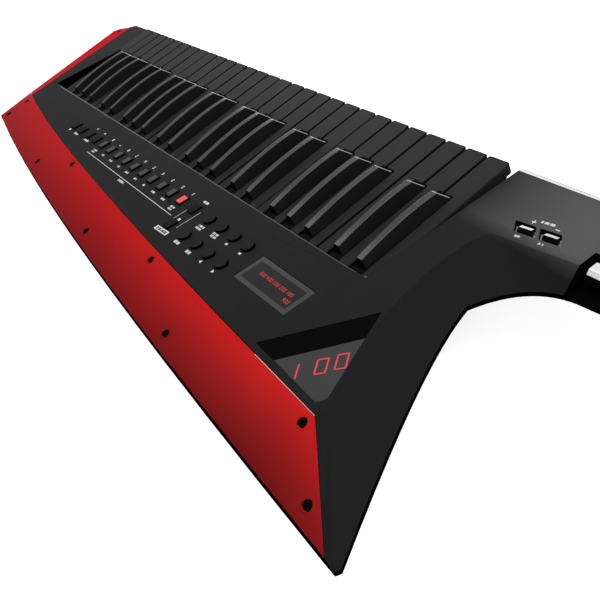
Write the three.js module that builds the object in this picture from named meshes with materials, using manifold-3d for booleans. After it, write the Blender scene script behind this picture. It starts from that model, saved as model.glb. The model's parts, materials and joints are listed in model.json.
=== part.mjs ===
// A keytar: a 49-key keyboard worn on a strap, with a neck for the left hand, a red blade
// along its rear edge and another at its treble end. Sizes are in millimetres.
//
// Panel frame: the control panel's top face lies at z = 0 and the naturals' front line at y = 0.
// x = 0 is the bass edge of the lowest key and x grows towards the treble end.
// The keys lie in their own frame, turned by keyTilt about X, so their fronts stand proud of
// the panel and their rear ends run in under it.
import * as THREE from "three";
import { mergeVertices } from "three/addons/utils/BufferGeometryUtils.js";
import Module from "manifold-3d";

const wasm = await Module();
wasm.setup();

// General clearances and overruns
const fit = 0.3; // gap between neighbouring pieces
const overrun = 6; // how far a cutter runs past the face it cuts

// Overall body
const neckReach = 467; // from x = 0 to the neck's tip
const trebleCheek = 100.6; // from the highest key to the outermost point of the treble end
const frontEdge = 9.8; // how far the case's front edge lies before the naturals' front line
const backDepth = 70.4; // panel face down to the flat back
const skin = 5; // thickness of the upper case under its outer faces
const wall = 2.8; // thickness of the upright walls
const lowerSkin = 4; // thickness of the lower case, measured upright
const splitDepth = 16.6; // panel face down to the joint of the two cases
const lipHeight = 0.9; // upright rim of the lower case

// Keyboard
const naturalCount = 29;
const naturalsPerOctave = 7;
const keyPitch = 23.6;
const naturalGap = 0.9;
const keyTilt = THREE.MathUtils.degToRad(6.73);
const keyRise = 8.4; // top of the naturals over the panel face at their front line
const naturalHeadLength = 48.5;
const naturalHeadDepth = 20;
const naturalLipDepth = 9; // front lip that overhangs the case
const naturalLipLength = 6;
const naturalNose = 0.9; // how far the lip reaches over the front line
const naturalShankDepth = 12.5;
const keyVisibleLength = 150; // from the front line to where the panel covers the keys
const keyFrontRound = 0.4;
const keyRearDrop = 1.1; // fall of the key's top from the visible end to the hinge
const hingeBehindPanel = 16; // from the keys' visible end back to the hinge axis
const hingeFromFront = keyVisibleLength + hingeBehindPanel;
const hingeDrop = 6; // hinge axis under the naturals' top face
const hingeNoseRadius = 4;
const hingeNoseStart = THREE.MathUtils.degToRad(-135); // where the nose leaves the key's underside
const hingeNoseSteps = 8;
const sharpFrontFoot = 50;
const sharpFrontTop = 57.4;
const sharpFrontHeight = 9.3;
const sharpBendY = 88; // control point of the sharps' arched top
const sharpBendHeight = 13.4;
const sharpRearHeight = 6.2;
const sharpEndInset = 14; // from the keys' visible end forward to the sharps' rear end
const sharpTopEnd = keyVisibleLength - sharpEndInset;
const sharpRearSlope = 1.5;
const sharpTopSteps = 8;
const sharpBaseWidth = 12.6;
const sharpTopWidth = 6.2;
const sharpShankDepth = 12;
const sharpSideGap = 1.1;
const sharpFarShift = 3.6; // offset of the outer sharps of the group of three
const sharpNearShift = 2.6; // offset of the two sharps of the group of two
const sharpPlaces = [
  { boundary: 1, shift: -sharpNearShift, name: "c_sharp" },
  { boundary: 2, shift: sharpNearShift, name: "d_sharp" },
  { boundary: 4, shift: -sharpFarShift, name: "f_sharp" },
  { boundary: 5, shift: 0, name: "g_sharp" },
  { boundary: 6, shift: sharpFarShift, name: "a_sharp" },
];
const naturalNames = ["c", "d", "e", "f", "g", "a", "b"];
const keyboardLength = naturalCount * keyPitch;
const trebleReach = keyboardLength + trebleCheek;
const overallLength = neckReach + trebleReach;

// Key bed: the frame that carries the keys
const bedPlate = 2.5;
const bedTopDepth = 30; // naturals' top face down to the bed plate, the keys' down stop
const bedFront = 9; // behind the naturals' front line
const bedEndInset = 2;
const bedRailHalf = 9; // half the hinge rail's thickness
const bedLip = 8; // strip behind the hinge rail
const bedPostRadius = 6;
const bedPostColumns = 4;
const bedPostRowShares = [0.15, 0.82]; // of the bed's depth
const bedPostEndShare = 0.06; // of the keyboard's length, from its ends
const postSides = 12;

// Key well in the upper case
const wellEndGap = 1.5;
const wellUnderrun = 3.5; // how far the keys' visible tops run in under the panel
const wellRear = keyVisibleLength - wellUnderrun;

// Neck
const neckRootWidth = 64.9; // front edge to the rear edge of the neck's top at its root
const neckTipWidth = 47;
const neckTipBlunt = 22; // length of the slanted tip
const neckTipRise = 9; // how far the tip's point lies behind the front edge
const neckRootX = 111; // from x = 0 to the start of the modulation bar's bay
const neckTaperStart = 45;
const neckSkirt = 15; // how far the neck's rear rim lies out past its top
const neckSkirtLean = 9.5; // how far it lies towards the tip
const neckDepth = 44; // panel face down to the neck's underside
const neckBellyInset = 13;
const edgeRound = 1.5; // small bevels and steps of the case's outline
const frontBevelWidth = 4.4; // sloping front edge of the neck and cheeks
const frontBevelDrop = 1.4;

// Rim depths under the panel face
const rimDepth = 14; // cutaway, horn and neck
const bladeRimTreble = 5; // long blade's outer edge at the treble end
const endRim = 3; // end blade's outer edge

// Panel outline. An inset is measured in from the treble end, a rise from the well's rear edge.
const panelFrontInset = 32; // treble corner of the panel at the front
const panelRearInset = 93; // treble corner of the panel at the long blade
const panelRearRise = 35.1;
const panelHornX = 78; // panel corner at the horn, before x = 0
const panelHornRise = 99.9;
const panelHornEdge = 10; // short edge between the long blade and the cutaway facet
const bladeBendX = 484; // control point of the long blade's inner edge
const bladeBendRise = 74.5;
const creaseX = 33.5; // facet crease beside the neck root, before x = 0
const creaseStartY = 95;
const creaseBendRise = 18.5;
const creaseRise = 6; // how much wider the neck's top is where the crease turns
const panelTrebleFront = trebleReach - panelFrontInset;
const panelTrebleRear = trebleReach - panelRearInset;
const panelTrebleRearY = wellRear + panelRearRise;
const panelHornY = wellRear + panelHornRise;

// Rim outline
const rimFrontInset = 17;
const rimChamferInset = 4;
const rimTrebleChamferY = 7;
const rimTrebleY = 16;
const rimSeamInset = 72; // where the seam of the two blades meets the rim
const rimSeamDrop = 2.6; // before the panel's corner
const rimCornerInset = 92; // outer treble corner of the long blade
const rimCornerRise = 49.8; // behind the panel's corner
const rimBendX = 369;
const hornRise = 52.1; // from the panel's corner at the horn to the horn's tip
const hornReach = panelHornY + hornRise;
const rimBendDrop = 19.5; // before the horn's tip
const rimHornX = 151; // outer end of the long blade, before x = 0
const rimHornDrop = 1.5;
const hornTipX = 161;
const hornTipDrop = 4; // width of the blunt horn tip
const bayKinkX = 69;
const bayKinkY = 116;
const bayNeckBendX = 84;
const bayNeckBendY = 74;
const bayHornBendX = 82;
const bayHornBendRise = 20.5;
const longEdgeSteps = 14;
const bayNeckSteps = 7;
const bayHornSteps = 11;

// Belly of the lower case, the flat back that it rests on
const bellyBass = 20;
const bellySlant = 0.4; // share of the reach before x = 0 by which the belly draws in from the bay
const bellyTrebleInset = 95;
const bellyTreble = trebleReach - bellyTrebleInset;
const bellyFront = 25;
const bellyRearRise = 78.5; // behind the well's rear edge
const bellyRear = wellRear + bellyRearRise;

// Blades
const bladeThickness = 1.6;
const screwHeadRadius = 4;
const screwShankRadius = 2.1;
const screwHeadDepth = 1.1;
const screwSides = 16;
// Screw places on the long blade: along it from treble to horn, then across it from its inner edge
const longScrewShares = [
  [0.084, 0.79],
  [0.086, 0.21],
  [0.346, 0.75],
  [0.478, 0.15],
  [0.584, 0.77],
  [0.754, 0.2],
  [0.794, 0.78],
  [0.985, 0.19],
  [0.985, 0.79],
];
const endScrewShares = [[0.56, 0.53]];

// Panel buttons
const capWidth = 9;
const capLength = 12;
const capRise = 1.6;
const capGap = 0.4;
const capPitch = 21.87;
const capCount = 14;
const capFirstX = 230;
const capRowRise = 34.5; // behind the well's rear edge
const capRowY = wellRear + capRowRise;
const pairX = 205;
const rowPitch = 26;
const pairRowY = capRowY + rowPitch;
const roundRadius = 5.8;
const roundPitch = 21.9;
const roundFirstX = 109.8;
const roundColumns = 4;
const roundRise = 1.2;
const roundSides = 20;
const webThickness = 1.6;
const webMargin = 3;
const webWidth = 16;

// Octave buttons in their pockets on the neck's root
const pocketX = 56.4; // centre of the first pocket, before x = 0
const pocketY = 45.7;
const pocketPitch = 20.6;
const pocketLength = 17.4;
const pocketWidth = 10.6;
const pocketSkew = 3; // slant of the pockets' ends
const pocketTurn = THREE.MathUtils.degToRad(6.4);
const octaveCapLength = 10.6;
const octaveCapWidth = 6.4;
const octaveCapDrop = 0.5; // cap top under the panel face
const octaveCount = 2;

// Display window and status window, one smoked moulding
const displayBass = 15.6;
const displayTreble = 88.6;
const displayRise = 32.5; // behind the well's rear edge
const displayWidth = 29.6;
const displayFront = wellRear + displayRise;
const displayRear = displayFront + displayWidth;
const statusTopX = 8;
const statusTopInset = 9.4; // these insets are measured forward from the panel's corner at the horn
const statusFrontX = 40;
const statusFrontRise = 16.5;
const statusHornX = 73.5;
const statusHornInset = 12.9;
const statusRearX = 70;
const statusRearInset = 5.4;
const lensDrop = 0.4; // lens face under the panel face
const lensFlange = 4;
const lensBacking = 2;
const bridgeHalf = 9; // half the width of the strip that joins the two windows
const bridgeReach = 36; // from the display window to the strip's far end

// Modulation bar in its bay along the neck
const barBayInner = 39.6;
const barTipGap = 132; // from the neck's tip to the far end of the bar's bay
const barRadius = 6;
const barBevel = 3; // sloping rear edge of the bar's top
const barInnerGap = 3.6;
const barDrop = 2.2; // bar top under the panel face
const barEndGap = 5; // between the bar's ends and its bay
const barSteps = 8;
const deckThickness = 2.5;

// Ribbon strip's seat on the neck
const ribbonStart = 112;
const ribbonTipGap = 119; // from the neck's tip to the strip's far end
const ribbonFront = 3;
const ribbonWidth = 31;
const ribbonSeat = 0.8;

// Volume knob near the neck's tip
const knobInset = 59; // from the neck's tip
const knobX = neckReach - knobInset;
const knobY = 17;
const knobRadius = 9;
const knobHeight = 11;
const knobFlute = 1;
const knobFlutes = 16;
const knobShaftRadius = 3.2;
const knobShaftLength = 14;
const knobHoleGap = 0.4;
const shaftSides = 16;

// Jack bay in the rear wall of the lower case
const jackBayBass = 372;
const jackBayTreble = 508;
const jackBayRise = 9; // behind the belly's rear edge
const jackBayBack = bellyRear + jackBayRise;
const jackBayTop = 30;
const jackBayBottom = 58;
const jackCount = 4;
const jackRadius = 3.6;
const jackBore = 24; // length of each socket's bore, half of it behind the bay's wall
const jackSides = 16;

// Strap buttons
const strapStemRadius = 4;
const strapHeadRadius = 8;
const strapStemLength = 8;
const strapHeadLength = 4;
const strapHeadBevel = 1;
const strapSink = 10; // how deep the stem's root runs into the case
const strapSides = 20;
const strapTrebleInset = 35;
const strapTrebleY = 60;
const strapTrebleDepth = 33;
const strapHornX = 100;
const strapHornDrop = 58.5; // before the horn's tip
const strapHornDepth = 31;

const zero = 0;
const finishes = {
  panel: { color: 0x2b2b2b, roughness: 0.55, metalness: 0 },
  shell: { color: 0x1c1c1c, roughness: 0.6, metalness: 0 },
  blade: { color: 0xc4181c, roughness: 0.16, metalness: 0 },
  natural: { color: 0x3c3c3c, roughness: 0.45, metalness: 0 },
  sharp: { color: 0x0c0c0c, roughness: 0.12, metalness: 0 },
  steel: { color: 0x8a8d90, roughness: 0.4, metalness: 1 },
  lens: { color: 0x141417, roughness: 0.1, metalness: 0 },
  cap: { color: 0x1e1e1e, roughness: 0.5, metalness: 0 },
  bar: { color: 0xb9bbbd, roughness: 0.25, metalness: 0.9 },
};

// A closed geometry as a solid: vertices merged and collapsed triangles dropped
function solidOf(geometry) {
  const loose = geometry.index ? geometry.toNonIndexed() : geometry;
  const bare = new THREE.BufferGeometry();
  bare.setAttribute("position", loose.getAttribute("position"));
  const merged = mergeVertices(bare);
  const triangles = [];
  for (let i = 0; i < merged.index.count; i += 3) {
    const [a, b, c] = [0, 1, 2].map((k) => merged.index.getX(i + k));
    if (a !== b && b !== c && c !== a) {
      triangles.push(a, b, c);
    }
  }
  const mesh = new wasm.Mesh({
    numProp: 3,
    vertProperties: merged.attributes.position.array,
    triVerts: new Uint32Array(triangles),
  });
  return new wasm.Manifold(mesh);
}

function union(solids) {
  return solids.reduce((whole, solid) => whole.add(solid));
}

function meshOf(name, solid, finish) {
  const { numProp, vertProperties, triVerts } = solid.getMesh();
  const geometry = new THREE.BufferGeometry();
  const position = new Float32Array((vertProperties.length / numProp) * 3);
  for (let i = 0; i * numProp < vertProperties.length; i += 1) {
    position.set(vertProperties.subarray(i * numProp, i * numProp + 3), i * 3);
  }
  geometry.setAttribute("position", new THREE.BufferAttribute(position, 3));
  geometry.setIndex(new THREE.BufferAttribute(new Uint32Array(triVerts), 1));
  geometry.computeVertexNormals();
  const mesh = new THREE.Mesh(geometry, new THREE.MeshStandardMaterial(finish));
  mesh.name = name;
  return mesh;
}

function box([x0, x1], [y0, y1], [z0, z1]) {
  const geometry = new THREE.BoxGeometry(x1 - x0, y1 - y0, z1 - z0);
  geometry.translate((x0 + x1) / 2, (y0 + y1) / 2, (z0 + z1) / 2);
  return solidOf(geometry);
}

// A round bar that stands along Z
function upright(x, y, [z0, z1], radius, sides) {
  const geometry = new THREE.CylinderGeometry(radius, radius, z1 - z0, sides);
  geometry.rotateX(Math.PI / 2);
  geometry.translate(x, y, (z0 + z1) / 2);
  return solidOf(geometry);
}

function extruded(points, length) {
  const shape = new THREE.Shape(points.map(([u, v]) => new THREE.Vector2(u, v)));
  return new THREE.ExtrudeGeometry(shape, { depth: length, bevelEnabled: false });
}

// An outline of [x, y] points, raised from z0 to z1
function prism(points, [z0, z1]) {
  const geometry = extruded(points, z1 - z0);
  geometry.translate(0, 0, z0);
  return solidOf(geometry);
}

// A side view of [y, z] points, run along X
function prismAlongX(points, [x0, x1]) {
  const geometry = extruded(points, x1 - x0);
  const [alongX, alongY, alongZ] = [0, 1, 2].map((axis) => unit(axis));
  geometry.applyMatrix4(new THREE.Matrix4().makeBasis(alongY, alongZ, alongX));
  geometry.translate(x0, 0, 0);
  return solidOf(geometry);
}

// A front view of [z, x] points, run along Y
function prismAlongY(points, [y0, y1]) {
  const geometry = extruded(points, y1 - y0);
  const [alongX, alongY, alongZ] = [0, 1, 2].map((axis) => unit(axis));
  geometry.applyMatrix4(new THREE.Matrix4().makeBasis(alongZ, alongX, alongY));
  geometry.translate(0, y0, 0);
  return solidOf(geometry);
}

function unit(axis) {
  return new THREE.Vector3().setComponent(axis, 1);
}

function arc(centreU, centreV, radius, from, to, steps) {
  return Array.from({ length: steps + 1 }, (_, i) => {
    const angle = from + ((to - from) * i) / steps;
    return [centreU + radius * Math.cos(angle), centreV + radius * Math.sin(angle)];
  });
}

function bent([ax, ay], [bx, by], [cx, cy], steps) {
  const [a, b, c] = [[ax, ay], [bx, by], [cx, cy]].map(([x, y]) => new THREE.Vector2(x, y));
  return new THREE.QuadraticBezierCurve(a, b, c).getPoints(steps).map((p) => [p.x, p.y]);
}

function mix(a, b, share) {
  return a.map((value, k) => value + (b[k] - value) * share);
}

function distinct(points) {
  return points.filter((p, i) => {
    const before = points[(i + points.length - 1) % points.length];
    return p.some((value, k) => value !== before[k]);
  });
}

// A solid through rings of [x, y, z] points, lowest ring first, each counter-clockwise from above.
// The lowest ring is closed by a fan when it is a convex one with points in line.
function loft(rings, fanned = false) {
  const position = [];
  const face = (...corners) => corners.forEach((corner) => position.push(...corner));
  for (let level = 0; level + 1 < rings.length; level += 1) {
    const [low, high] = [rings[level], rings[level + 1]];
    low.forEach((a, i) => {
      const next = (i + 1) % low.length;
      face(a, low[next], high[next]);
      face(a, high[next], high[i]);
    });
  }
  const cap = (ring, turned) => {
    const loop = distinct(ring);
    const flat = loop.map(([x, y]) => new THREE.Vector2(x, y));
    for (const [a, b, c] of THREE.ShapeUtils.triangulateShape(flat, [])) {
      face(loop[a], loop[turned ? c : b], loop[turned ? b : c]);
    }
  };
  if (fanned) {
    const count = rings[0].length;
    const middle = [0, 1, 2].map((k) => rings[0].reduce((sum, p) => sum + p[k] / count, 0));
    rings[0].forEach((a, i) => face(middle, rings[0][(i + 1) % count], a));
  } else {
    cap(rings[0], true);
  }
  cap(rings.at(-1), false);
  const geometry = new THREE.BufferGeometry();
  geometry.setAttribute("position", new THREE.Float32BufferAttribute(position, 3));
  return solidOf(geometry);
}

// A solid through sections of [x, y, z] corners that follow one another. Each section has as many
// corners on its one side as on the other, so its two ends are closed between the pairs.
function skinned(sections) {
  const position = [];
  const face = (...corners) => corners.forEach((corner) => position.push(...corner));
  sections.slice(1).forEach((here, i) => {
    const before = sections[i];
    here.forEach((a, k) => {
      const next = (k + 1) % here.length;
      face(before[k], a, here[next]);
      face(before[k], here[next], before[next]);
    });
  });
  const [first, last] = [sections[0], sections.at(-1)];
  for (let k = 0; k + 1 < first.length / 2; k += 1) {
    const other = first.length - 1 - k;
    face(first[k], first[k + 1], first[other - 1]);
    face(first[k], first[other - 1], first[other]);
    face(last[k], last[other - 1], last[k + 1]);
    face(last[k], last[other], last[other - 1]);
  }
  const geometry = new THREE.BufferGeometry();
  geometry.setAttribute("position", new THREE.Float32BufferAttribute(position, 3));
  return solidOf(geometry);
}

// A counter-clockwise outline moved inwards by the given distance
function inset(points, distance) {
  const loop = distinct(points);
  return loop.map(([x, y], i) => {
    const [px, py] = loop[(i + loop.length - 1) % loop.length];
    const [nx, ny] = loop[(i + 1) % loop.length];
    const before = new THREE.Vector2(py - y, x - px).normalize();
    const after = new THREE.Vector2(y - ny, nx - x).normalize();
    const both = before.clone().add(after);
    both.multiplyScalar(distance / (1 + before.dot(after)));
    return [x + both.x, y + both.y];
  });
}

const neckTip = [-neckReach, neckTipRise - frontEdge];
const neckTipFront = [neckTipBlunt - neckReach, -frontEdge];
const neckTipRear = [neckTipBlunt - neckReach, neckTipWidth - frontEdge];
const neckTopRoot = [-neckRootX, neckRootWidth - frontEdge];
const creaseTurn = [-neckTaperStart, neckRootWidth - frontEdge + creaseRise];
const creaseStart = [-creaseX, creaseStartY];
const panelHorn = [-panelHornX, panelHornY];
const panelHornFront = [-panelHornX, panelHornY - panelHornEdge];
const panelRear = [panelTrebleRear, panelTrebleRearY];
const panelFront = [panelTrebleFront, edgeRound];

// Stations round the body, counter-clockwise from above. Each joins a point of the panel's outline
// to a point of the rim, which lies depth under the panel face.
function stationsOf() {
  const list = [];
  const add = (part, top, rim, depth) => list.push({ part, top, rim, depth });
  const frontTop = frontBevelWidth - frontEdge;
  const cheekFront = panelTrebleFront - frontBevelWidth;
  add("front", [neckTipFront[0], frontTop], neckTipFront, frontBevelDrop);
  add("front", [cheekFront, frontTop], [panelTrebleFront, -frontEdge], frontBevelDrop);
  add("end", panelFront, [trebleReach - rimFrontInset, -edgeRound], endRim);
  const endLine = (share) => mix(panelFront, panelRear, share);
  const chamferShare = rimTrebleChamferY / panelTrebleRearY;
  const bendShare = rimTrebleY / panelTrebleRearY;
  add("end", endLine(chamferShare), [trebleReach - rimChamferInset, rimTrebleChamferY], endRim);
  add("end", endLine(bendShare), [trebleReach, rimTrebleY], endRim);
  const seamRim = [trebleReach - rimSeamInset, panelTrebleRearY - rimSeamDrop];
  add("end", panelRear, seamRim, endRim);
  add("seam", panelRear, seamRim, endRim);
  const inner = bent(panelRear, [bladeBendX, wellRear + bladeBendRise], panelHorn, longEdgeSteps);
  const outer = bent(
    [trebleReach - rimCornerInset, panelTrebleRearY + rimCornerRise],
    [rimBendX, hornReach - rimBendDrop],
    [-rimHornX, hornReach - rimHornDrop],
    longEdgeSteps,
  );
  inner.forEach((top, i) => {
    const depth = bladeRimTreble + ((rimDepth - bladeRimTreble) * i) / longEdgeSteps;
    add("long", top, outer[i], depth);
  });
  add("horn", panelHornFront, [-hornTipX, hornReach], rimDepth);
  const hornTipFront = [-hornTipX - edgeRound, hornReach - hornTipDrop];
  const crease = bent(panelHornFront, [-creaseX, wellRear + creaseBendRise], creaseStart, bayHornSteps);
  const bay = bent(
    hornTipFront,
    [-bayHornBendX, wellRear + bayHornBendRise],
    [-bayKinkX, bayKinkY],
    bayHornSteps,
  );
  crease.forEach((top, i) => add("bay", top, bay[i], rimDepth));
  const corner = bent(creaseStart, [-creaseX, creaseTurn[1]], creaseTurn, bayNeckSteps);
  const straight = Array.from({ length: bayNeckSteps }, (_, i) =>
    mix(creaseTurn, neckTopRoot, (i + 1) / bayNeckSteps),
  );
  const skirtRoot = [neckTopRoot[0] - neckSkirtLean, neckTopRoot[1] + neckSkirt];
  const curl = bent(
    [-bayKinkX, bayKinkY],
    [-bayNeckBendX, bayNeckBendY],
    skirtRoot,
    bayNeckSteps * 2,
  );
  const curlTop = [...corner, ...straight];
  curl.slice(1).forEach((rim, i) => {
    add(i + 2 < curl.length ? "bay" : "neck", curlTop[i + 1], rim, rimDepth);
  });
  const rearTop = [neckTipRear[0] + neckSkirtLean, neckTipRear[1]];
  add("neck", rearTop, [neckTipRear[0], neckTipRear[1] + neckSkirt - edgeRound], rimDepth);
  add("neck", [neckTip[0] + neckSkirt, neckTip[1] + frontBevelWidth], neckTip, rimDepth);
  return list;
}

const stations = stationsOf();
const rimOutline = stations.map((s) => s.rim);

// The upper case's outer form, from the split up to the panel
function upperForm() {
  return loft([
    stations.map((s) => [...s.rim, -splitDepth]),
    stations.map((s) => [...s.rim, -s.depth]),
    stations.map((s) => [...s.top, zero]),
  ]);
}

// A strip over a run of stations, between two depths under the outer faces. Its inner edge is
// drawn in by innerGap, its ends by endGap, and its outer edge runs out past the rim by reach.
function strip(run, [shallow, deep], innerGap, endGap, reach) {
  const onFace = ({ top, rim, depth }) => {
    const [inner, outer] = [[...top, zero], [...rim, -depth]];
    const width = Math.hypot(...outer.map((value, k) => value - inner[k]));
    return { inner: mix(inner, outer, innerGap / width), outer: mix(inner, outer, 1 + reach / width) };
  };
  const lines = run.map(onFace);
  const drawIn = (end, next) => {
    const length = Math.hypot(...end.outer.map((value, k) => value - next.outer[k]));
    const share = endGap / length;
    return { inner: mix(end.inner, next.inner, share), outer: mix(end.outer, next.outer, share) };
  };
  const first = drawIn(lines[0], lines[1]);
  const last = drawIn(lines.at(-1), lines.at(-2));
  lines[0] = first;
  lines[lines.length - 1] = last;
  const at = ([x, y, z], depth) => [x, y, z - depth];
  const section = ({ inner, outer }) => [
    at(outer, deep),
    at(outer, shallow),
    at(inner, shallow),
    at(inner, deep),
  ];
  return skinned(lines.map(section));
}

function runOf(...parts) {
  return stations.filter((s) => parts.includes(s.part));
}

// Screw holes through a blade, each sunk for its head
function screwHoles(run, shares) {
  return union(
    shares.map(([along, across]) => {
      const place = along * (run.length - 1);
      const step = Math.min(Math.floor(place), run.length - 2);
      const edge = (key) => mix(run[step][key], run[step + 1][key], place - step);
      const [x, y] = mix(edge("top"), edge("rim"), across);
      const depth = mix([run[step].depth], [run[step + 1].depth], place - step)[0] * across;
      const through = upright(
        x,
        y,
        [-depth - bladeThickness - overrun, overrun - depth],
        screwShankRadius,
        screwSides,
      );
      const head = upright(x, y, [-depth - screwHeadDepth, overrun - depth], screwHeadRadius, screwSides);
      return through.add(head);
    }),
  );
}

function blade(run, shares) {
  return strip(run, [zero, bladeThickness], fit, fit, zero).subtract(screwHoles(run, shares));
}

// The joint between naturals 1 and 2, 2 and 3, 4 and 5, 5 and 6, 6 and 7 of each octave has a sharp
function sharpCentres() {
  const centres = [];
  for (let first = 0; first + naturalsPerOctave < naturalCount; first += naturalsPerOctave) {
    for (const { boundary, shift, name } of sharpPlaces) {
      const octave = first / naturalsPerOctave + 1;
      centres.push({ x: (first + boundary) * keyPitch + shift, name: `key_${name}_${octave}` });
    }
  }
  return centres;
}

// The rear of a key, seen from the side: its top runs back and down to a round hinge nose
function hingeNose() {
  return arc(
    hingeFromFront,
    -hingeDrop,
    hingeNoseRadius,
    hingeNoseStart,
    Math.PI / 2,
    hingeNoseSteps,
  );
}

function naturalSide() {
  const step = naturalHeadDepth - naturalShankDepth;
  return [
    [-naturalNose, -keyFrontRound],
    [-naturalNose, -naturalLipDepth],
    [naturalLipLength, -naturalLipDepth],
    [naturalLipLength + edgeRound, -naturalHeadDepth],
    [naturalHeadLength - edgeRound, -naturalHeadDepth],
    [naturalHeadLength + step, -naturalShankDepth],
    ...hingeNose(),
    [keyVisibleLength, zero],
    [keyFrontRound - naturalNose, zero],
  ];
}

function naturalPlan(index, centres) {
  const [left, right] = [index * keyPitch + naturalGap / 2, (index + 1) * keyPitch - naturalGap / 2];
  const reach = sharpBaseWidth / 2 + sharpSideGap;
  const beside = (edge) => centres.find(({ x }) => Math.abs(x - edge) < keyPitch / 2);
  const [before, after] = [beside(index * keyPitch), beside((index + 1) * keyPitch)];
  const rear = hingeFromFront + hingeNoseRadius + overrun;
  const plan = [[left, -overrun], [right, -overrun]];
  if (after) {
    plan.push([right, naturalHeadLength], [after.x - reach, naturalHeadLength]);
    plan.push([after.x - reach, rear]);
  } else {
    plan.push([right, rear]);
  }
  if (before) {
    plan.push([before.x + reach, rear], [before.x + reach, naturalHeadLength]);
    plan.push([left, naturalHeadLength]);
  } else {
    plan.push([left, rear]);
  }
  return plan;
}

function naturalKey(index, centres) {
  const name = naturalNames[index % naturalsPerOctave];
  const octave = Math.floor(index / naturalsPerOctave) + 1;
  const plan = prism(naturalPlan(index, centres), [-naturalHeadDepth - overrun, overrun]);
  const side = prismAlongX(naturalSide(), [index * keyPitch, (index + 1) * keyPitch]);
  return meshOf(`key_${name}_${octave}`, plan.intersect(side), finishes.natural);
}

// A sharp: a flat shank from the front foot to the hinge nose and, on it, an arched head whose
// sides slope in to a narrow top
function sharpShank(x) {
  const side = [
    [sharpFrontFoot, -keyRearDrop],
    [sharpFrontFoot, -sharpShankDepth],
    ...hingeNose(),
    [keyVisibleLength, -keyRearDrop],
  ];
  return prismAlongX(side, [x - sharpBaseWidth / 2, x + sharpBaseWidth / 2]);
}

function sharpHead(x) {
  const [half, topHalf] = [sharpBaseWidth / 2, sharpTopWidth / 2];
  const [low, footEnd] = [-sharpShankDepth / 2, sharpTopEnd + sharpRearSlope];
  const top = bent(
    [sharpFrontTop, sharpFrontHeight],
    [sharpBendY, sharpBendHeight],
    [sharpTopEnd, sharpRearHeight],
    sharpTopSteps,
  );
  const sections = top.map(([y, z], i) => {
    const foot = i === 0 ? sharpFrontFoot : i === sharpTopSteps ? footEnd : y;
    const flank = (side) => [
      [x + side * half, foot, low],
      [x + side * half, foot, zero],
      [x + side * topHalf, y, z],
    ];
    return [...flank(1), ...flank(-1).reverse()];
  });
  return skinned(sections);
}

function sharpKey({ x, name }) {
  return meshOf(name, sharpShank(x).add(sharpHead(x)), finishes.sharp);
}

// The bed: a plate under the keys and a rail with the groove that the hinge noses turn in
function keyBed() {
  const [left, right] = [bedEndInset, keyboardLength - bedEndInset];
  const [railFront, railRear] = [hingeFromFront - bedRailHalf, hingeFromFront + bedRailHalf];
  const level = [-bedTopDepth - bedPlate, -bedTopDepth];
  const plate = box([left, right], [bedFront, railRear + bedLip], level);
  const rail = box([left, right], [railFront, railRear], [-bedTopDepth, -hingeDrop]);
  const groove = arc(
    hingeFromFront,
    -hingeDrop,
    hingeNoseRadius + fit,
    -Math.PI,
    zero,
    hingeNoseSteps * 2,
  );
  const [grooveFront, grooveRear] = [groove[0], groove.at(-1)];
  const outline = [...groove, [grooveRear[0], overrun], [grooveFront[0], overrun]];
  const cut = prismAlongX(outline, [left - overrun, right + overrun]);
  const frontStep = prismAlongX(
    [
      [railFront - overrun, -hingeDrop - hingeNoseRadius],
      [hingeFromFront, -hingeDrop - hingeNoseRadius],
      [hingeFromFront, overrun],
      [railFront - overrun, overrun],
    ],
    [left - overrun, right + overrun],
  );
  return meshOf("key_frame", plate.add(rail).subtract(cut).subtract(frontStep), finishes.steel);
}

// Holes and caps of the panel's buttons
function rectangle(x, y, width, length, grow) {
  const [w, l] = [width / 2 + grow, length / 2 + grow];
  return [[x - w, y - l], [x + w, y - l], [x + w, y + l], [x - w, y + l]];
}

function tonePlaces() {
  const row = Array.from({ length: capCount }, (_, i) => [capFirstX + i * capPitch, capRowY]);
  return [...row, [pairX, capRowY], [pairX, pairRowY]];
}

function menuPlaces() {
  const columns = Array.from({ length: roundColumns }, (_, i) => roundFirstX + i * roundPitch);
  return [capRowY, pairRowY].flatMap((y) => columns.map((x) => [x, y]));
}

function pocketOutline(index, length, width, skew, grow) {
  const [l, w] = [length / 2 + grow, width / 2 + grow];
  const corners = [[-l - skew, w], [-l + skew, -w], [l + skew, -w], [l - skew, w]];
  const [cos, sin] = [Math.cos(pocketTurn), Math.sin(pocketTurn)];
  const along = -index * pocketPitch;
  return corners.map(([u, v]) => [
    -pocketX + (along + u) * cos - v * sin,
    pocketY + (along + u) * sin + v * cos,
  ]);
}

const underside = -skin - fit; // top of what lies under the panel
const throughPanel = [-skin - overrun, overrun];

function toneButtons() {
  const caps = tonePlaces().map(([x, y]) =>
    prism(rectangle(x, y, capWidth, capLength, zero), [underside - webThickness, capRise]),
  );
  const [first, last] = [pairX - capWidth / 2, capFirstX + (capCount - 1) * capPitch + capWidth / 2];
  const level = [underside - webThickness, underside];
  const rowFront = capRowY - webWidth / 2;
  const row = box([first - webMargin, last + webMargin], [rowFront, capRowY + webWidth / 2], level);
  const column = box(
    [first - webMargin, first + capWidth + webMargin],
    [rowFront, pairRowY + webWidth / 2],
    level,
  );
  return meshOf("tone_buttons", union([...caps, row, column]), finishes.cap);
}

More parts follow.
